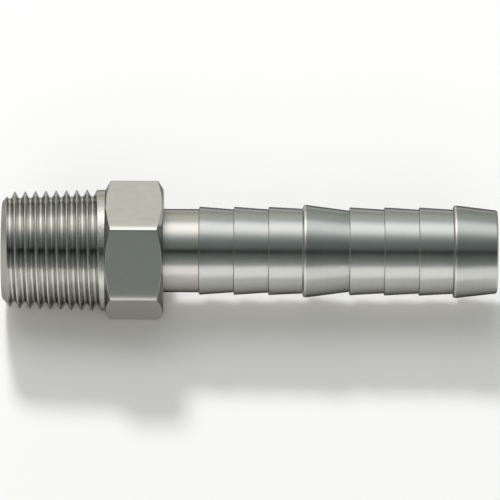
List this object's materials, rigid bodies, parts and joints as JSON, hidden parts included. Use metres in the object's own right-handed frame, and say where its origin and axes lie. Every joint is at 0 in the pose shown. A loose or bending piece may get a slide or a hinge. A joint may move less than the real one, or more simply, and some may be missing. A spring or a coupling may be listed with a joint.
{
  "type": "hose fitting",
  "caption": "Straight stainless steel hose nipple: male taper pipe thread, hexagon for a spanner and a barbed tail for a hose, with a bore right through.",
  "frame": {"origin": "centre of the end face on the thread side, on the axis of the bore", "axes": "+X along the axis from the thread towards the hose tip, +Z out of one flat of the hexagon, so that the fitting lies on the opposite flat"},
  "size_m": [0.0869, 0.0252, 0.022],
  "materials": {
    "stainless_steel": "fine turned finish round the axis, satin flats on the hexagon"
  },
  "bodies": {
    "root": {"hose_fitting": "stainless_steel"}
  },
  "joints": []
}
